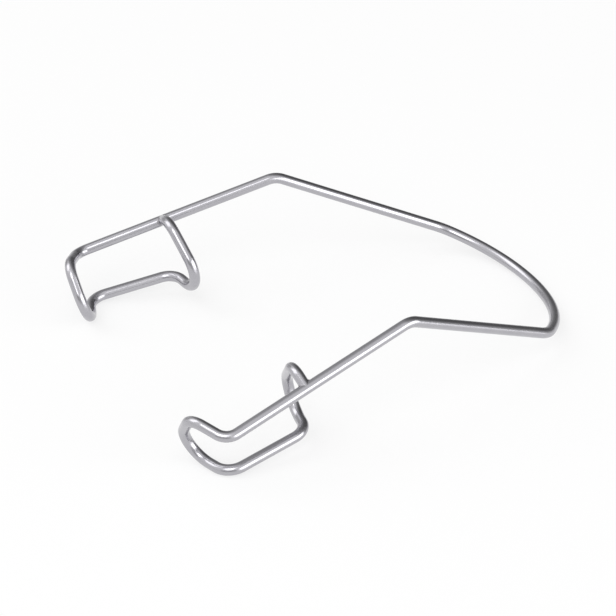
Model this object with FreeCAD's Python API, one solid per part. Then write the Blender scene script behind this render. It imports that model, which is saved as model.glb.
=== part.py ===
# Eye speculum of one bent spring wire: a bow, two legs, two arms and a hooked lid blade on each arm.
# The wire is built in the stretches between its bends, so that each arm can swing on the bow.
# +X points to the bow, -X to the blades, +Y to the right side as held by the bow, and it lies on z = 0.
import FreeCAD, Part
import math
import os

from FreeCAD import Vector

# Wire, one gauge all through
WIRE_DIAMETER = 1.0

# Knees' place along the length, which puts the middle of the whole length at x = 0
KNEE_X = 0.2

# Spring bow, low in the middle and rising to the shoulders
BOW_RADIUS = 13.1
BOW_HALF_SWEEP_DEG = 45.0
BOW_PITCH_DEG = 21.0

# Shoulders, behind the knees, where the bow turns into the legs
SHOULDER_RUN = 16.15
SHOULDER_LEAD = 1.2
SHOULDER_BEND = 3.3

# Knees, the highest bends, where finger and thumb squeeze
KNEE_HALF_SPREAD = 13.65
KNEE_HEIGHT = 10.05
KNEE_BEND = 2.1

# Tips, ahead of the knees, the front corners of the arms
TIP_RUN = 18.9
TIP_HALF_SPREAD = 16.6
TIP_HEIGHT = 5.0
TIP_BEND = 1.5

# Front lid hook, from the tip over a crest and down to a nose that lies on the table
FRONT_CREST_IN = 3.3
FRONT_CREST_FORWARD = 1.6
FRONT_CREST_RISE = 0.95
FRONT_NOSE_IN = 7.4
FRONT_NOSE_FORWARD = 0.4

# Lid bar, which lies under the lid and joins the two hooks
BAR_IN = 1.05
BAR_FRONT_BACK = 0.8
BAR_REAR_BACK = 9.0
BAR_REAR_HEIGHT = 1.85
BAR_BEND = 1.8

# Rear lid hook, from the bar round a nose and over a crest to the weld on the arm
REAR_NOSE_IN = 7.9
REAR_NOSE_BACK = 2.8
REAR_CREST_IN = 2.25
REAR_CREST_RISE = 1.15

# Bends of both hooks
CREST_BEND = 1.65
NOSE_BEND = 2.25

# Weld that ties the end of the wire to the side of the arm
WELD_BACK = 8.5
WELD_ROOT = 0.4
WELD_LEG = 0.2
WELD_PROUD = 0.05

# Least share of a straight stretch that stays straight between two bends
STRAIGHT_SHARE = 0.05

WIRE_RADIUS = WIRE_DIAMETER / 2
UP = Vector(0, 0, 1)


def bow_frame():
    """Centre of the bow's arc and its two directions: towards the apex, and across."""
    pitch = math.radians(BOW_PITCH_DEG)
    sweep = math.radians(BOW_HALF_SWEEP_DEG)
    to_apex = Vector(math.cos(pitch), 0, -math.sin(pitch))
    depth = BOW_RADIUS * (1 - math.cos(sweep)) + SHOULDER_LEAD * math.sin(sweep)
    apex = Vector(KNEE_X + SHOULDER_RUN + depth * math.cos(pitch), 0, WIRE_RADIUS)
    return apex - to_apex * BOW_RADIUS, to_apex, Vector(0, 1, 0)


def bow_point(angle_deg, lead=0.0):
    """Point on the bow's centre line at an angle from the apex, or ahead of it on its tangent."""
    centre, to_apex, across = bow_frame()
    angle = math.radians(angle_deg)
    on_arc = centre + (to_apex * math.cos(angle) + across * math.sin(angle)) * BOW_RADIUS
    return on_arc + (across * math.cos(angle) - to_apex * math.sin(angle)) * lead


def right_corners():
    """Corners of the wire's centre line on the right side, from the bow to the weld, with bends."""
    bow_end = bow_point(BOW_HALF_SWEEP_DEG)
    shoulder = bow_point(BOW_HALF_SWEEP_DEG, SHOULDER_LEAD)
    knee = Vector(KNEE_X, KNEE_HALF_SPREAD, KNEE_HEIGHT)
    tip = Vector(KNEE_X - TIP_RUN, TIP_HALF_SPREAD, TIP_HEIGHT)

    back = Vector(knee.x - tip.x, knee.y - tip.y, 0).normalize()
    inward = back.cross(UP)
    if inward.y > 0:
        inward = -inward

    def beside(base, back_by, in_by, height):
        place = base + back * back_by + inward * in_by
        return Vector(place.x, place.y, height)

    weld = arm_point(tip, knee, WELD_BACK)
    front_crest = beside(tip, -FRONT_CREST_FORWARD, FRONT_CREST_IN, TIP_HEIGHT + FRONT_CREST_RISE)
    front_nose = beside(tip, -FRONT_NOSE_FORWARD, FRONT_NOSE_IN, WIRE_RADIUS)
    bar_front = beside(tip, BAR_FRONT_BACK, BAR_IN, WIRE_RADIUS)
    bar_rear = beside(tip, BAR_REAR_BACK, BAR_IN, BAR_REAR_HEIGHT)
    rear_nose = beside(weld, REAR_NOSE_BACK, REAR_NOSE_IN, BAR_REAR_HEIGHT)
    rear_crest = beside(weld, 0.0, REAR_CREST_IN, weld.z + REAR_CREST_RISE)
    wire_end = weld + (rear_crest - weld).normalize() * WELD_ROOT
    return [
        (bow_end, 0.0),
        (shoulder, SHOULDER_BEND),
        (knee, KNEE_BEND),
        (tip, TIP_BEND),
        (front_crest, CREST_BEND),
        (front_nose, NOSE_BEND),
        (bar_front, BAR_BEND),
        (bar_rear, BAR_BEND),
        (rear_nose, NOSE_BEND),
        (rear_crest, CREST_BEND),
        (wire_end, 0.0),
    ]


def arm_point(tip, knee, back_by):
    """Point on the arm's centre line, measured back from the tip's corner."""
    return tip + (knee - tip).normalize() * back_by


def bend_reaches(corners):
    """How far each bend reaches along the straight stretches beside its corner, and its turn."""
    points = [point for point, _ in corners]
    turns = [0.0] * len(points)
    wanted = [0.0] * len(points)
    for i in range(1, len(points) - 1):
        turns[i] = (points[i] - points[i - 1]).getAngle(points[i + 1] - points[i])
        wanted[i] = corners[i][1] * math.tan(turns[i] / 2)
    reaches = list(wanted)
    for i in range(1, len(points) - 1):
        for beside in (i - 1, i + 1):
            room = (points[beside] - points[i]).Length * (1 - STRAIGHT_SHARE)
            both = wanted[i] + wanted[beside]
            if both > room:
                reaches[i] = min(reaches[i], wanted[i] * room / both)
    return reaches, turns


def straight_wire(start, end):
    """A straight stretch of wire."""
    return Part.makeCylinder(WIRE_RADIUS, (end - start).Length, start, end - start)


def curved_wire(start, heading, centre, turn):
    """A bend of wire that leaves start along heading and turns about centre."""
    section = Part.Face(Part.Wire(Part.Circle(start, heading, WIRE_RADIUS).toShape()))
    axis = (start - centre).cross(heading).normalize()
    return section.revolve(centre, axis, math.degrees(turn))


def wire_stretches(corners):
    """Solids of the wire in order: straight, bend, straight, and so on to the last straight."""
    reaches, turns = bend_reaches(corners)
    points = [point for point, _ in corners]
    stretches = []
    start = points[0]
    for i in range(1, len(points)):
        heading = (points[i] - points[i - 1]).normalize()
        straight_end = points[i] - heading * reaches[i]
        stretches.append(straight_wire(start, straight_end))
        if i < len(points) - 1:
            leaving = (points[i + 1] - points[i]).normalize()
            radius = reaches[i] / math.tan(turns[i] / 2)
            to_centre = (leaving - heading).normalize() * (radius / math.cos(turns[i] / 2))
            stretches.append(curved_wire(straight_end, heading, points[i] + to_centre, turns[i]))
            start = points[i] + leaving * reaches[i]
    return stretches


def joined(*pieces):
    """One solid of neighbouring stretches of wire."""
    return pieces[0].multiFuse(list(pieces[1:])).removeSplitter()


def weld_bead(corners, arm, wire_end):
    """Bead round the wire's end: hollow flanks along the arm, flush with both wires at the sides."""
    tip, knee, rear_crest = corners[3][0], corners[2][0], corners[9][0]
    weld = arm_point(tip, knee, WELD_BACK)
    along_arm = (knee - tip).normalize()
    outward = (rear_crest - weld).normalize()
    across = along_arm.cross(outward).normalize()
    square_out = across.cross(along_arm)

    foot = WIRE_RADIUS + WELD_LEG

    def profile(radial, axial):
        return weld + along_arm * radial + outward * axial

    flank_mid = foot - WELD_LEG * math.sin(math.pi / 4)
    flank = Part.Arc(profile(foot, WIRE_RADIUS), profile(flank_mid, flank_mid), profile(WIRE_RADIUS, foot))
    outline = [
        Part.makeLine(profile(0, 0), profile(foot, 0)),
        Part.makeLine(profile(foot, 0), profile(foot, WIRE_RADIUS)),
        flank.toShape(),
        Part.makeLine(profile(WIRE_RADIUS, foot), profile(0, foot)),
        Part.makeLine(profile(0, foot), profile(0, 0)),
    ]
    flare = Part.Face(Part.Wire(outline)).revolve(weld, outward, 360)

    side = WIRE_RADIUS + WELD_PROUD
    seat_start = weld - along_arm * (2 * foot)
    round_seat = Part.makeCylinder(side, 4 * foot, seat_start, along_arm)
    corner = seat_start - across * side
    base = Part.makePolygon([
        corner,
        corner + across * (2 * side),
        corner + across * (2 * side) + square_out * (2 * foot),
        corner + square_out * (2 * foot),
        corner,
    ])
    upright = Part.Face(base).extrude(along_arm * (4 * foot))
    return flare.common(round_seat.fuse(upright)).cut(arm).cut(wire_end)


def right_side():
    """Nodes of the right side, from the shoulder to the weld."""
    corners = right_corners()
    (lead, shoulder, leg, knee, arm, tip, front_over, front_crest, front_drop, front_nose,
     front_under, bar_front, lid_bar, bar_rear, rear_under, rear_nose, rear_drop, rear_crest,
     rear_over) = wire_stretches(corners)
    end_of_wire = joined(rear_crest, rear_over).cut(arm)
    return {
        "shoulder": joined(lead, shoulder),
        "leg": leg,
        "knee": knee,
        "arm": arm,
        "tip": tip,
        "front_crest": joined(front_over, front_crest),
        "front_drop": front_drop,
        "front_nose": front_nose,
        "front_return": joined(front_under, bar_front),
        "lid_bar": lid_bar,
        "rear_return": joined(bar_rear, rear_under),
        "rear_nose": rear_nose,
        "rear_drop": rear_drop,
        "rear_crest": end_of_wire,
        "weld": weld_bead(corners, arm, end_of_wire),
    }


def spring_bow():
    """The bow's arc, from the left shoulder to the right one."""
    centre, to_apex, across = bow_frame()
    start = bow_point(-BOW_HALF_SWEEP_DEG)
    heading = (start - centre).cross(to_apex.cross(across)).normalize()
    if heading.y < 0:
        heading = -heading
    return curved_wire(start, heading, centre, math.radians(2 * BOW_HALF_SWEEP_DEG))


def mirrored(solid):
    """The same stretch on the left side."""
    return solid.mirror(Vector(0, 0, 0), Vector(0, 1, 0))


def main():
    nodes = {"spring_bow": spring_bow()}
    for name, solid in right_side().items():
        nodes["right_" + name] = solid
        nodes["left_" + name] = mirrored(solid)

    os.makedirs("parts", exist_ok=True)
    for name, solid in nodes.items():
        solid.exportStep("parts/" + name + ".step")

    corners = right_corners()
    reaches, turns = bend_reaches(corners)
    for (point, radius), reach, turn in list(zip(corners, reaches, turns))[1:-1]:
        built = reach / math.tan(turn / 2)
        print("bend at %.2f %.2f %.2f: radius %.2f of %.2f" % (*point, built, radius))
    pivot = corners[0][0]
    print("arm pivot at %.3f %.3f %.3f" % (pivot.x, pivot.y, pivot.z))


main()
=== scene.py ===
# Eye speculum of drawn stainless spring wire: its finish, its welds, the light and the camera.
# Each stretch of wire stands for the solid of the same name. The bow, shoulders and legs, which bend
# on the real speculum where the sides are squeezed, stay unattached, and the other stretches and the
# welds hang on their side.
# Lengths are in metres where no comment says otherwise.
import math

import bmesh
import bpy
from mathutils import Matrix, Vector, noise


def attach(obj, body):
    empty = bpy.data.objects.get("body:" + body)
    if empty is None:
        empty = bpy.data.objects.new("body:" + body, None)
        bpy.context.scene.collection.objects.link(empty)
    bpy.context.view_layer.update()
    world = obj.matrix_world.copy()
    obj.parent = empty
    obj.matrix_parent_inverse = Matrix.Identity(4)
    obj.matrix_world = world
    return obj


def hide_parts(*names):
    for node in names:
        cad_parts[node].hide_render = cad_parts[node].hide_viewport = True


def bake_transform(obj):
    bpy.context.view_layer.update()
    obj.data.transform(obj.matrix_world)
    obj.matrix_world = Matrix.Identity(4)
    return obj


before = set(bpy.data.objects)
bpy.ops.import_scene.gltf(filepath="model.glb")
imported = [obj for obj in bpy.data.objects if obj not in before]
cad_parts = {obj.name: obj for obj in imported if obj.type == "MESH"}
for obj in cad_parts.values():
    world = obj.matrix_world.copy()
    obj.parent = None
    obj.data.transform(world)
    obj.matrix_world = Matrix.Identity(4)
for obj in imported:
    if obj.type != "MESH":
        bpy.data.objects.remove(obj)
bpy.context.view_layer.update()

# Wire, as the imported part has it, and the share of a run that two wide bends leave straight
WIRE_RADIUS = 0.0005
KNEE_X = 0.0002
BOW_RADIUS = 0.0131
BOW_HALF_SWEEP = math.radians(45.0)
BOW_PITCH = math.radians(21.0)
SHOULDER_RUN = 0.01615
SHOULDER_LEAD = 0.0012
SHOULDER_BEND = 0.0033
KNEE_HALF_SPREAD = 0.01365
KNEE_HEIGHT = 0.01005
KNEE_BEND = 0.0021
TIP_RUN = 0.0189
TIP_HALF_SPREAD = 0.0166
TIP_HEIGHT = 0.0050
TIP_BEND = 0.0015
FRONT_CREST_IN = 0.0033
FRONT_CREST_FORWARD = 0.0016
FRONT_CREST_RISE = 0.00095
FRONT_NOSE_IN = 0.0074
FRONT_NOSE_FORWARD = 0.0004
BAR_IN = 0.00105
BAR_FRONT_BACK = 0.0008
BAR_REAR_BACK = 0.0090
BAR_REAR_HEIGHT = 0.00185
BAR_BEND = 0.0018
REAR_NOSE_IN = 0.0079
REAR_NOSE_BACK = 0.0028
REAR_CREST_IN = 0.00225
REAR_CREST_RISE = 0.00115
CREST_BEND = 0.00165
NOSE_BEND = 0.00225
WELD_BACK = 0.0085
STRAIGHT_SHARE = 0.05

# Weld metal between the wire's end and the arm: its leg, half its width, how much of the leg it
# loses towards its two ends, how deep its root and its edges are sunk, and its ripples' share of
# the leg and their size
WELD_LEG = 0.0002
WELD_HALF_WIDTH = 0.00047
WELD_TAPER = 0.85
WELD_ROOT = 0.00008
WELD_SINK = 0.000004
WELD_RIPPLE = 0.25
WELD_RIPPLE_SIZE = 0.00022

# Mesh of the wire and of the welds, and the short straight lead at both ends of every bend
ROUND_STEPS = 48
BEND_STEP = math.radians(3.0)
BOW_STEP = math.radians(1.5)
STRAIGHT_STEP = 0.0008
JOINT_LEAD = 0.00003
WELD_STEPS = 28
WELD_ARC_STEPS = 8

# How hard the wire was bent: rolled gently for the bow, and pressed on the jig for the rest
BOW_PRESSURE = 0.2
JIG_PRESSURE = 1.0

# Sizes of the marks on the steel, in millimetres. Real die lines are a few hundredths of a
# millimetre wide, too fine for the view, so they are drawn three times as wide.
DIE_LINE_WIDTH = 0.11
DIE_LINE_LENGTH = 9.0
POLISH_CLOUD = 1.7
JIG_MARK_WIDTH = 1.667
JIG_MARK_LENGTH = 0.35
WELD_GRAIN = 0.09

# Depths of the marks, in metres: about half a micron for the lines, and one to three for the rest
DIE_LINE_DEPTH = 0.0000006
POLISH_CLOUD_DEPTH = 0.0000015
JIG_MARK_DEPTH = 0.000001
WELD_GRAIN_DEPTH = 0.000003

# Roughness from the smoothest to the dullest lines, and what clouds and pressed marks add to it.
# The noise's own values lie mostly between NOISE_SHARES.
WIRE_ROUGHNESS = (0.14, 0.21)
POLISH_CLOUD_ROUGHNESS = 0.05
JIG_MARK_ROUGHNESS = 0.1
WELD_ROUGHNESS = (0.36, 0.52)
NOISE_SHARES = (0.3, 0.7)

# Camera, fitted to the photograph's view
CAMERA_AZIMUTH = math.radians(-26.185)
CAMERA_ELEVATION = math.radians(32.788)
CAMERA_ROLL = math.radians(0.538)
CAMERA_AIM = Vector((-0.002694, 0.000626, 0.003889))
CAMERA_DISTANCE = 0.29137
CAMERA_LENS = 187.49
CAMERA_SENSOR = 36.0
CAMERA_CLIP = (0.01, 20.0)

# Studio: azimuths go from +Y round to +X, and they and the elevations are in degrees. The table is
# partly white of itself where it is seen. Its lacquer shines only where it reflects more than
# LACQUER_START. The room is white where it is seen, and lights the table with ROOM_FILL.
FLOOR_HALF_SIZE = 3.0
FLOOR_WHITE_SHARE = 0.7
LACQUER_IOR = 1.8
LACQUER_START = 0.16
LACQUER_ROUGHNESS = 0.2
# The cloth glows at a set brightness instead of being lit, grey at its rim and darker towards its
# middle: painted light and shade that shows only in the wire's shine.
CLOTH_MIDDLE = (60.0, 27.0)
CLOTH_REACH = 58.0
CLOTH_DISTANCE = 1.6
CLOTH_STEPS = 96
CLOTH_RIM_GLOW = 0.54
CLOTH_MIDDLE_GLOW = 0.13
ROOM_FILL = 0.85
SOFTBOXES = [
    # name, azimuth, elevation, distance, width, height, brightness
    ("upper_softbox", -137.0, 46.0, 1.0, 0.54, 0.6, 2.3),
    ("low_softbox", 145.0, 15.0, 1.0, 1.15, 0.6, 2.2),
    ("side_softbox", -55.0, 44.0, 1.0, 0.56, 0.84, 1.35),
]
# Cards that glow at a set grey instead of being lit: painted light that shows only in the wire's
# shine.
GLOWING_CARDS = [
    # name, azimuth, elevation, distance, width, height, grey of its glow
    ("camera_side_card", -142.0, 10.0, 1.3, 1.4, 0.5, 0.52),
    ("far_card", -18.0, 14.0, 1.3, 0.7, 0.66, 0.55),
]

MM = 1000.0

# Names of the wire's stretches in order, straight and bent by turns, and the solids that they are
STRETCHES = [
    "shoulder", "shoulder", "leg", "knee", "arm", "tip", "front_crest", "front_crest",
    "front_drop", "front_nose", "front_return", "front_return", "lid_bar", "rear_return",
    "rear_return", "rear_nose", "rear_drop", "rear_crest", "rear_crest",
]

# Numbers of some corners of the wire, counted from the end of the bow's arc
SHOULDER, KNEE, TIP, REAR_CREST, WELD = 1, 2, 3, 9, 10


def bow_frame():
    """Centre of the bow's arc and its two directions: towards the apex, and across."""
    to_apex = Vector((math.cos(BOW_PITCH), 0.0, -math.sin(BOW_PITCH)))
    depth = BOW_RADIUS * (1 - math.cos(BOW_HALF_SWEEP)) + SHOULDER_LEAD * math.sin(BOW_HALF_SWEEP)
    apex = Vector((KNEE_X + SHOULDER_RUN + depth * math.cos(BOW_PITCH), 0.0, WIRE_RADIUS))
    return apex - to_apex * BOW_RADIUS, to_apex, Vector((0.0, 1.0, 0.0))


def bow_point(angle, lead=0.0):
    """Point on the bow's centre line at an angle from the apex, or ahead of it on its tangent."""
    centre, to_apex, across = bow_frame()
    on_arc = centre + (to_apex * math.cos(angle) + across * math.sin(angle)) * BOW_RADIUS
    return on_arc + (across * math.cos(angle) - to_apex * math.sin(angle)) * lead


def right_corners():
    """Corners of the wire's centre line on the right side, with the radius of each bend."""
    knee = Vector((KNEE_X, KNEE_HALF_SPREAD, KNEE_HEIGHT))
    tip = Vector((KNEE_X - TIP_RUN, TIP_HALF_SPREAD, TIP_HEIGHT))
    back = Vector((knee.x - tip.x, knee.y - tip.y, 0.0)).normalized()
    inward = Vector((back.y, -back.x, 0.0))

    def beside(base, back_by, in_by, height):
        place = base + back * back_by + inward * in_by
        return Vector((place.x, place.y, height))

    weld = tip + (knee - tip).normalized() * WELD_BACK
    return [
        (bow_point(BOW_HALF_SWEEP), 0.0),
        (bow_point(BOW_HALF_SWEEP, SHOULDER_LEAD), SHOULDER_BEND),
        (knee, KNEE_BEND),
        (tip, TIP_BEND),
        (beside(tip, -FRONT_CREST_FORWARD, FRONT_CREST_IN, TIP_HEIGHT + FRONT_CREST_RISE), CREST_BEND),
        (beside(tip, -FRONT_NOSE_FORWARD, FRONT_NOSE_IN, WIRE_RADIUS), NOSE_BEND),
        (beside(tip, BAR_FRONT_BACK, BAR_IN, WIRE_RADIUS), BAR_BEND),
        (beside(tip, BAR_REAR_BACK, BAR_IN, BAR_REAR_HEIGHT), BAR_BEND),
        (beside(weld, REAR_NOSE_BACK, REAR_NOSE_IN, BAR_REAR_HEIGHT), NOSE_BEND),
        (beside(weld, 0.0, REAR_CREST_IN, weld.z + REAR_CREST_RISE), CREST_BEND),
        (weld, 0.0),
    ]


def bend_reaches(corners):
    """How far each bend reaches along the straight stretches beside its corner, and its turn."""
    points = [point for point, _ in corners]
    turns = [0.0] * len(points)
    wanted = [0.0] * len(points)
    for i in range(1, len(points) - 1):
        turns[i] = (points[i] - points[i - 1]).angle(points[i + 1] - points[i])
        wanted[i] = corners[i][1] * math.tan(turns[i] / 2)
    reaches = list(wanted)
    for i in range(1, len(points) - 1):
        for neighbour in (i - 1, i + 1):
            room = (points[neighbour] - points[i]).length * (1 - STRAIGHT_SHARE)
            both = wanted[i] + wanted[neighbour]
            if both > room:
                reaches[i] = min(reaches[i], wanted[i] * room / both)
    return reaches, turns


def side_route(mirror):
    """Start of one side's wire at the bow's apex, and its moves: straight lengths and bends.

    Every straight stretch gives a short lead to the bends beside it, so that the pieces meet
    where the wire is straight and no seam shows in its shine."""
    flip = Matrix.Diagonal((1.0, mirror, 1.0))
    corners = [(flip @ point, radius) for point, radius in right_corners()]
    centre, to_apex, across = bow_frame()
    start = centre + to_apex * BOW_RADIUS
    heading = flip @ across
    bow_axis = to_apex.cross(heading).normalized()
    bow_radius = BOW_RADIUS - JOINT_LEAD / math.tan(BOW_HALF_SWEEP / 2)
    moves = [
        ("bow", "straight", JOINT_LEAD, None, 0.0),
        ("bow", "bend", bow_radius, bow_axis, BOW_HALF_SWEEP),
        ("bow", "straight", JOINT_LEAD, None, 0.0),
    ]
    reaches, turns = bend_reaches(corners)
    points = [point for point, _ in corners]
    before = STRETCHES[0]
    for i in range(1, len(points)):
        along = points[i] - points[i - 1]
        straight = along.length - reaches[i] - reaches[i - 1] - 2 * JOINT_LEAD
        name = STRETCHES[2 * i - 2]
        after = STRETCHES[2 * i - 1] if i < len(points) - 1 else name
        moves.append((before, "straight", JOINT_LEAD, None, 0.0))
        moves.append((name, "straight", straight, None, 0.0))
        moves.append((after, "straight", JOINT_LEAD, None, 0.0))
        if i < len(points) - 1:
            leaving = points[i + 1] - points[i]
            radius = reaches[i] / math.tan(turns[i] / 2)
            moves.append((after, "bend", radius, along.cross(leaving).normalized(), turns[i]))
            before = after
    return start, heading, bow_axis, moves


def ring_matrix(place, heading, side):
    """Frame of a ring of the wire: across it, across it, and along it."""
    rows = Matrix((side, heading.cross(side), heading)).transposed().to_4x4()
    rows.translation = place
    return rows


def smooth_sides(bm):
    """Turns the faces outwards, and shades the four-sided ones smooth and the ends flat."""
    bmesh.ops.recalc_face_normals(bm, faces=bm.faces[:])
    for face in bm.faces:
        face.smooth = len(face.verts) == 4
    for edge in bm.edges:
        edge.smooth = all(face.smooth for face in edge.link_faces)


def as_piece(bm, name):
    """Makes an object of a finished mesh, which lies at its own place."""
    mesh = bpy.data.meshes.new(name)
    bm.to_mesh(mesh)
    bm.free()
    piece = bpy.data.objects.new(name, mesh)
    bpy.context.scene.collection.objects.link(piece)
    return piece


class WireMaker:
    """Draws a piece of round wire ring by ring.

    Each point knows its place on the drawn wire in millimetres, and how hard it was bent."""

    def __init__(self, place, heading, side, along, mirror):
        self.bm = bmesh.new()
        self.drawn = self.bm.verts.layers.float_vector.new("drawn_place")
        self.bent = self.bm.verts.layers.float.new("jig_pressure")
        self.place, self.heading, self.side = place.copy(), heading.copy(), side.copy()
        self.along, self.mirror = along, mirror
        made = bmesh.ops.create_circle(
            self.bm, cap_ends=True, segments=ROUND_STEPS, radius=WIRE_RADIUS,
            matrix=ring_matrix(place, heading, side))
        for vert in made["verts"]:
            out = vert.co - place
            round_place = (out.dot(side) * MM, out.dot(heading.cross(side)) * mirror * MM)
            vert[self.drawn] = (*round_place, along * mirror * MM)
        self.edges = list(self.bm.edges)

    def step(self, geometry, pressure):
        """Takes the new ring and writes its place along the wire."""
        self.edges = [item for item in geometry if isinstance(item, bmesh.types.BMEdge)]
        for vert in {vert for edge in self.edges for vert in edge.verts}:
            was = vert[self.drawn]
            vert[self.drawn] = (was[0], was[1], self.along * self.mirror * MM)
            vert[self.bent] = pressure

    def straight(self, length):
        """A straight length of wire."""
        steps = max(1, math.ceil(length / STRAIGHT_STEP))
        for _ in range(steps):
            made = bmesh.ops.extrude_edge_only(self.bm, edges=self.edges)["geom"]
            ring = [edge for edge in made if isinstance(edge, bmesh.types.BMEdge)]
            ring = [edge for edge in ring if len(edge.link_faces) == 1]
            verts = list({vert for edge in ring for vert in edge.verts})
            bmesh.ops.translate(self.bm, verts=verts, vec=self.heading * (length / steps))
            self.place += self.heading * (length / steps)
            self.along += length / steps
            self.step(ring, 0.0)

    def bend(self, radius, axis, turn, largest_step, pressure):
        """A bend of the wire about an axis, pressed hardest in its middle."""
        centre = self.place + axis.cross(self.heading).normalized() * radius
        steps = max(1, math.ceil(turn / largest_step))
        for i in range(steps):
            verts = list({vert for edge in self.edges for vert in edge.verts})
            made = bmesh.ops.spin(
                self.bm, geom=verts + self.edges, cent=centre, axis=axis, angle=turn / steps,
                steps=1, use_duplicate=False)["geom_last"]
            self.along += radius * turn / steps
            self.step(made, pressure * math.sin(math.pi * (i + 1) / steps))
        swing = Matrix.Rotation(turn, 3, axis)
        self.place = centre + swing @ (self.place - centre)
        self.heading = swing @ self.heading
        self.side = swing @ self.side

    def finish(self, name):
        """Closes the end and gives the piece, with smooth sides and flat ends."""
        bmesh.ops.contextual_create(self.bm, geom=self.edges)
        smooth_sides(self.bm)
        return as_piece(self.bm, name)


def side_wire(side_name, mirror):
    """All pieces of wire on one side, by the name of their stretch."""
    place, heading, side, moves = side_route(mirror)
    along = 0.0
    pieces = {}
    maker, drawn = None, None
    for name, kind, size, axis, turn in moves:
        if name != drawn:
            if maker:
                pieces[drawn] = maker.finish(side_name + "_" + drawn + "_wire")
                place, heading, side, along = maker.place, maker.heading, maker.side, maker.along
            maker, drawn = WireMaker(place, heading, side, along, mirror), name
        if kind == "straight":
            maker.straight(size)
        elif name == "bow":
            maker.bend(size, axis, turn, BOW_STEP, BOW_PRESSURE)
        else:
            maker.bend(size, axis, turn, BEND_STEP, JIG_PRESSURE)
    pieces[drawn] = maker.finish(side_name + "_" + drawn + "_wire")
    return pieces


def add_fillet(bm, weld, along, out, across):
    """A hollow fillet of weld metal in the corner between the arm and the wire's end."""
    slant = math.sin(along.angle(out))

    def section(offset):
        """Points round the fillet at an offset across the arm, from its root along its hollow."""
        seat = math.sqrt(WIRE_RADIUS ** 2 - offset ** 2) / slant - WELD_SINK
        middle = weld + along * seat + out * seat + across * offset
        fullness = 1.0 - WELD_TAPER * (offset / WELD_HALF_WIDTH) ** 2
        leg = WELD_LEG * fullness * (1.0 + WELD_RIPPLE * noise.noise(middle / WELD_RIPPLE_SIZE))
        points = [middle - (along + out) * WELD_ROOT]
        for i in range(WELD_ARC_STEPS + 1):
            turn = math.pi / 2 * i / WELD_ARC_STEPS
            hollow = along * (1 - math.sin(turn)) + out * (1 - math.cos(turn))
            points.append(middle + hollow * leg)
        return points

    ring = [bm.verts.new(point) for point in section(-WELD_HALF_WIDTH)]
    edges = [bm.edges.new((ring[i - 1], ring[i])) for i in range(len(ring))]
    bmesh.ops.contextual_create(bm, geom=edges)
    for i in range(1, WELD_STEPS + 1):
        made = bmesh.ops.extrude_edge_only(bm, edges=edges)["geom"]
        ring = [
            next(far for far in (edge.other_vert(vert) for edge in vert.link_edges) if far in made)
            for vert in ring]
        offset = WELD_HALF_WIDTH * (2 * i / WELD_STEPS - 1)
        for vert, point in zip(ring, section(offset)):
            vert.co = point
        edges = [bm.edges.get((ring[i - 1], ring[i])) for i in range(len(ring))]
    bmesh.ops.contextual_create(bm, geom=edges)


def weld_bead(side_name, mirror):
    """The weld of one side: a fillet ahead of the wire's end and one behind it."""
    flip = Matrix.Diagonal((1.0, mirror, 1.0))
    corners = [flip @ point for point, _ in right_corners()]
    knee, tip, crest, weld = (corners[i] for i in (KNEE, TIP, REAR_CREST, WELD))
    out = (crest - weld).normalized()
    bm = bmesh.new()
    for along in ((knee - tip).normalized(), (tip - knee).normalized()):
        add_fillet(bm, weld, along, out, along.cross(out).normalized())
    smooth_sides(bm)
    return as_piece(bm, side_name + "_weld_bead")


def linear(code):
    """A colour written as sRGB hex, as the linear values that a shader takes."""
    parts = [int(code[i:i + 2], 16) / 255 for i in (1, 3, 5)]
    return (*[c / 12.92 if c <= 0.04045 else ((c + 0.055) / 1.055) ** 2.4 for c in parts], 1.0)


def add_node(tree, kind, settings=None, links=None):
    """Adds a node: settings are its own or its sockets' values, links its inputs' sources."""
    node = tree.nodes.new(kind)
    for name, value in (settings or {}).items():
        if hasattr(node, name):
            setattr(node, name, value)
        else:
            node.inputs[name].default_value = value
    for name, source in (links or {}).items():
        tree.links.new(source, node.inputs[name])
    return node


def new_material(name):
    """An empty node material and its output node."""
    material = bpy.data.materials.new(name)
    material.use_nodes = True
    material.node_tree.nodes.clear()
    return material, add_node(material.node_tree, "ShaderNodeOutputMaterial")


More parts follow.
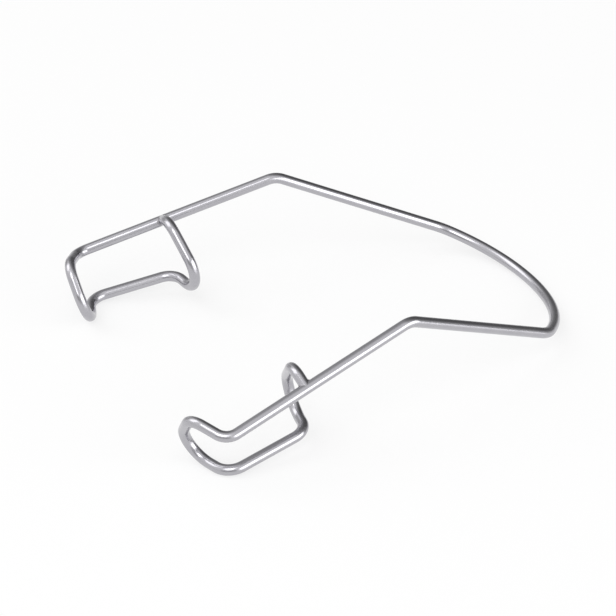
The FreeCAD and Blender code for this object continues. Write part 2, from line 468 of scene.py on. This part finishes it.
def drawn_stainless():
    """Spring-temper stainless wire, drawn through a die, bent on a jig and polished.

    It is bright, with faint lines along it from the die, soft cloudy marks from the polishing
    mop, and slightly duller bends with light marks across them where the jig pressed."""
    material, output = new_material("polished_drawn_stainless")
    tree = material.node_tree
    place = add_node(tree, "ShaderNodeAttribute", {"attribute_name": "drawn_place"})
    pressure = add_node(tree, "ShaderNodeAttribute", {"attribute_name": "jig_pressure"})

    # Lines along the wire
    line_scale = (1 / DIE_LINE_WIDTH, 1 / DIE_LINE_WIDTH, 1 / DIE_LINE_LENGTH)
    line_place = add_node(
        tree, "ShaderNodeMapping", {"Scale": line_scale}, {"Vector": place.outputs["Vector"]})
    lines = add_node(
        tree, "ShaderNodeTexNoise", {"Scale": 1.0, "Detail": 2.0, "Roughness": 0.6},
        {"Vector": line_place.outputs["Vector"]})

    # Clouds left by the mop, about as long as the wire is thick
    clouds = add_node(
        tree, "ShaderNodeTexNoise", {"Scale": 1 / POLISH_CLOUD, "Detail": 3.0, "Roughness": 0.55},
        {"Vector": place.outputs["Vector"]})

    # Marks across the bends
    mark_scale = (1 / JIG_MARK_WIDTH, 1 / JIG_MARK_WIDTH, 1 / JIG_MARK_LENGTH)
    mark_place = add_node(
        tree, "ShaderNodeMapping", {"Scale": mark_scale}, {"Vector": place.outputs["Vector"]})
    marks = add_node(
        tree, "ShaderNodeTexNoise", {"Scale": 1.0, "Detail": 1.0},
        {"Vector": mark_place.outputs["Vector"]})
    pressed = add_node(tree, "ShaderNodeMath", {"operation": "MULTIPLY"})
    tree.links.new(marks.outputs["Fac"], pressed.inputs[0])
    tree.links.new(pressure.outputs["Fac"], pressed.inputs[1])

    colour = add_node(
        tree, "ShaderNodeMixRGB", {"Color1": linear("#AEADB3"), "Color2": linear("#BAB9BD")},
        {"Fac": clouds.outputs["Fac"]})

    rough = add_node(
        tree, "ShaderNodeMapRange",
        {"From Min": NOISE_SHARES[0], "From Max": NOISE_SHARES[1],
         "To Min": WIRE_ROUGHNESS[0], "To Max": WIRE_ROUGHNESS[1]},
        {"Value": lines.outputs["Fac"]})
    for source, share in (
            (clouds.outputs["Fac"], POLISH_CLOUD_ROUGHNESS),
            (pressed.outputs["Value"], JIG_MARK_ROUGHNESS)):
        more = add_node(tree, "ShaderNodeMath", {"operation": "MULTIPLY_ADD"})
        tree.links.new(source, more.inputs[0])
        more.inputs[1].default_value = share
        tree.links.new(rough.outputs[0], more.inputs[2])
        rough = more

    bump = None
    for source, depth in (
            (clouds.outputs["Fac"], POLISH_CLOUD_DEPTH), (pressed.outputs["Value"], JIG_MARK_DEPTH),
            (lines.outputs["Fac"], DIE_LINE_DEPTH)):
        links = {"Height": source}
        if bump:
            links["Normal"] = bump.outputs["Normal"]
        bump = add_node(tree, "ShaderNodeBump", {"Strength": 1.0, "Distance": depth}, links)

    surface = add_node(
        tree, "ShaderNodeBsdfPrincipled", {"Metallic": 1.0},
        {"Base Color": colour.outputs["Color"], "Roughness": rough.outputs[0],
         "Normal": bump.outputs["Normal"]})
    tree.links.new(surface.outputs["BSDF"], output.inputs["Surface"])
    return material


def weld_metal():
    """Stainless weld metal, brushed down after welding: duller than the wire and finely rippled."""
    material, output = new_material("brushed_weld_metal")
    tree = material.node_tree
    where = add_node(tree, "ShaderNodeTexCoord")
    ripples = add_node(
        tree, "ShaderNodeTexNoise", {"Scale": MM / WELD_GRAIN, "Detail": 2.0},
        {"Vector": where.outputs["Object"]})
    colour = add_node(
        tree, "ShaderNodeMixRGB", {"Color1": linear("#98979B"), "Color2": linear("#AEACAF")},
        {"Fac": ripples.outputs["Fac"]})
    rough = add_node(
        tree, "ShaderNodeMapRange", {"To Min": WELD_ROUGHNESS[0], "To Max": WELD_ROUGHNESS[1]},
        {"Value": ripples.outputs["Fac"]})
    bump = add_node(
        tree, "ShaderNodeBump", {"Strength": 1.0, "Distance": WELD_GRAIN_DEPTH},
        {"Height": ripples.outputs["Fac"]})
    surface = add_node(
        tree, "ShaderNodeBsdfPrincipled", {"Metallic": 1.0},
        {"Base Color": colour.outputs["Color"], "Roughness": rough.outputs["Result"],
         "Normal": bump.outputs["Normal"]})
    tree.links.new(surface.outputs["BSDF"], output.inputs["Surface"])
    return material


def put_on(piece, material):
    """Gives a piece its one material."""
    piece.data.materials.append(material)


def build_speculum():
    """The wire and the weld of both sides."""
    steel, weld = drawn_stainless(), weld_metal()
    for side_name, mirror in (("right", 1.0), ("left", -1.0)):
        body = side_name + "_side"
        shoulder, knee = (right_corners()[i][0] for i in (SHOULDER, KNEE))
        for stretch, piece in side_wire(side_name, mirror).items():
            put_on(piece, steel)
            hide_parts("spring_bow" if stretch == "bow" else side_name + "_" + stretch)
            if stretch in ("bow", "shoulder", "leg"):
                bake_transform(piece)
            else:
                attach(piece, body)
        bead = weld_bead(side_name, mirror)
        put_on(bead, weld)
        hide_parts(side_name + "_weld")
        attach(bead, body)


def add_camera():
    """The photograph's viewpoint."""
    azimuth, elevation = CAMERA_AZIMUTH, CAMERA_ELEVATION
    back = Vector((
        math.sin(azimuth) * math.cos(elevation),
        -math.cos(azimuth) * math.cos(elevation),
        math.sin(elevation)))
    right = Vector((math.cos(azimuth), math.sin(azimuth), 0.0))
    turned = Matrix.Rotation(CAMERA_ROLL, 3, back) @ right
    stand = Matrix((turned, back.cross(turned), back)).transposed().to_4x4()
    stand.translation = CAMERA_AIM + back * CAMERA_DISTANCE
    data = bpy.data.cameras.new("camera")
    data.lens = CAMERA_LENS
    data.sensor_width = CAMERA_SENSOR
    data.clip_start, data.clip_end = CAMERA_CLIP
    camera = bpy.data.objects.new("camera", data)
    camera.matrix_world = stand
    bpy.context.scene.collection.objects.link(camera)
    bpy.context.scene.camera = camera


def towards(azimuth, elevation):
    """Direction at an azimuth from +Y round to +X and an elevation, both in degrees."""
    a, e = math.radians(azimuth), math.radians(elevation)
    return Vector((math.sin(a) * math.cos(e), math.cos(a) * math.cos(e), math.sin(e)))


def add_staged(name, bm, material):
    """Makes a mesh of the studio, which isn't part of the object."""
    staged = as_piece(bm, name)
    staged.data.materials.append(material)
    return staged


def is_seen(tree):
    """1 for rays from the camera and for reflected and refracted ones, 0 for scattered light."""
    path = add_node(tree, "ShaderNodeLightPath")
    seen = path.outputs["Is Camera Ray"]
    for kind in ("Is Glossy Ray", "Is Transmission Ray"):
        both = add_node(tree, "ShaderNodeMath", {"operation": "MAXIMUM"})
        tree.links.new(seen, both.inputs[0])
        tree.links.new(path.outputs[kind], both.inputs[1])
        seen = both.outputs["Value"]
    return seen


def add_floor():
    """A white lacquered table, which keeps the object's shadow and shines at low angles."""
    bm = bmesh.new()
    bmesh.ops.create_grid(bm, x_segments=1, y_segments=1, size=FLOOR_HALF_SIZE)
    material, output = new_material("white_lacquered_table")
    tree = material.node_tree
    paint = add_node(tree, "ShaderNodeBsdfDiffuse", {"Color": linear("#FAFAFA")})
    white = add_node(tree, "ShaderNodeEmission", {"Strength": 1.0})
    share = add_node(tree, "ShaderNodeMath", {"operation": "MULTIPLY"})
    share.inputs[1].default_value = FLOOR_WHITE_SHARE
    tree.links.new(is_seen(tree), share.inputs[0])
    mixed = add_node(tree, "ShaderNodeMixShader", links={"Fac": share.outputs["Value"]})
    tree.links.new(paint.outputs["BSDF"], mixed.inputs[1])
    tree.links.new(white.outputs["Emission"], mixed.inputs[2])
    fresnel = add_node(tree, "ShaderNodeFresnel", {"IOR": LACQUER_IOR})
    shine = add_node(
        tree, "ShaderNodeMapRange", {"From Min": LACQUER_START}, {"Value": fresnel.outputs["Fac"]})
    lacquer = add_node(tree, "ShaderNodeBsdfGlossy", {"Roughness": LACQUER_ROUGHNESS})
    table = add_node(tree, "ShaderNodeMixShader", links={"Fac": shine.outputs["Result"]})
    tree.links.new(mixed.outputs["Shader"], table.inputs[1])
    tree.links.new(lacquer.outputs["BSDF"], table.inputs[2])
    tree.links.new(table.outputs["Shader"], output.inputs["Surface"])
    add_staged("floor", bm, material)


def add_glowing_card(name, azimuth, elevation, distance, width, height, grey):
    """A card that faces the object, shows only in its shine, and glows at a set grey instead of being
    lit: painted light standing in for a lit grey card.
    """
    facing = towards(azimuth, elevation)
    bm = bmesh.new()
    stand = facing.to_track_quat("Z", "Y").to_matrix().to_4x4()
    stand.translation = facing * distance
    bmesh.ops.create_grid(bm, x_segments=1, y_segments=1, size=width / 2)
    bmesh.ops.scale(bm, verts=bm.verts[:], vec=(1.0, height / width, 1.0))
    bmesh.ops.transform(bm, verts=bm.verts[:], matrix=stand)
    material, output = new_material(name)
    material.cycles.emission_sampling = "NONE"
    tree = material.node_tree
    glow = add_node(tree, "ShaderNodeEmission", {"Strength": grey})
    tree.links.new(glow.outputs["Emission"], output.inputs["Surface"])
    card = add_staged(name, bm, material)
    card.visible_camera = False


def add_glowing_cloth():
    """A grey cloth hung in a hollow behind the object, which gives the bright wire its dark edge. It
    glows at a set brightness instead of being lit, grey at its rim and darker towards its middle:
    painted light and shade that shows only in the wire's shine.
    """
    axis = towards(*CLOTH_MIDDLE)
    bm = bmesh.new()
    bmesh.ops.create_uvsphere(
        bm, u_segments=CLOTH_STEPS, v_segments=CLOTH_STEPS // 2, radius=CLOTH_DISTANCE)
    rim = math.cos(math.radians(CLOTH_REACH))
    bmesh.ops.bisect_plane(
        bm, geom=bm.verts[:] + bm.edges[:] + bm.faces[:],
        plane_co=axis * CLOTH_DISTANCE * rim, plane_no=axis, clear_inner=True)
    material, output = new_material("glowing_grey_cloth")
    material.cycles.emission_sampling = "NONE"
    tree = material.node_tree
    where = add_node(tree, "ShaderNodeTexCoord")
    unit = add_node(tree, "ShaderNodeVectorMath", {"operation": "NORMALIZE"})
    tree.links.new(where.outputs["Object"], unit.inputs[0])
    facing = add_node(tree, "ShaderNodeVectorMath", {"operation": "DOT_PRODUCT"})
    tree.links.new(unit.outputs["Vector"], facing.inputs[0])
    facing.inputs[1].default_value = axis
    fade = add_node(tree, "ShaderNodeMapRange", {
        "interpolation_type": "SMOOTHSTEP", "From Min": rim, "From Max": 1.0,
        "To Min": CLOTH_RIM_GLOW, "To Max": CLOTH_MIDDLE_GLOW}, {"Value": facing.outputs["Value"]})
    glow = add_node(tree, "ShaderNodeEmission", links={"Strength": fade.outputs["Result"]})
    tree.links.new(glow.outputs["Emission"], output.inputs["Surface"])
    cloth = add_staged("glowing_grey_cloth", bm, material)
    cloth.visible_camera = False


def add_softbox(name, azimuth, elevation, distance, width, height, brightness):
    """A rectangular softbox that faces the object, with a power that gives its face a brightness."""
    data = bpy.data.lights.new(name, "AREA")
    data.shape = "RECTANGLE"
    data.size, data.size_y = width, height
    data.energy = brightness * math.pi * width * height
    light = bpy.data.objects.new(name, data)
    light.location = towards(azimuth, elevation) * distance
    light.rotation_euler = towards(azimuth, elevation).to_track_quat("Z", "Y").to_euler()
    bpy.context.scene.collection.objects.link(light)


def add_world():
    """A white room."""
    world = bpy.data.worlds.new("white_room")
    bpy.context.scene.world = world
    world.use_nodes = True
    tree = world.node_tree
    tree.nodes.clear()
    output = add_node(tree, "ShaderNodeOutputWorld")
    level = add_node(tree, "ShaderNodeMapRange", {"To Min": ROOM_FILL, "To Max": 1.0})
    tree.links.new(is_seen(tree), level.inputs["Value"])
    walls = add_node(tree, "ShaderNodeBackground", links={"Strength": level.outputs["Result"]})
    walls.inputs["Color"].default_value = (1.0, 1.0, 1.0, 1.0)
    tree.links.new(walls.outputs["Background"], output.inputs["Surface"])


bpy.context.scene.view_settings.view_transform = "Standard"
build_speculum()
add_floor()
add_glowing_cloth()
for softbox in SOFTBOXES:
    add_softbox(*softbox)
for card in GLOWING_CARDS:
    add_glowing_card(*card)
add_world()
add_camera()
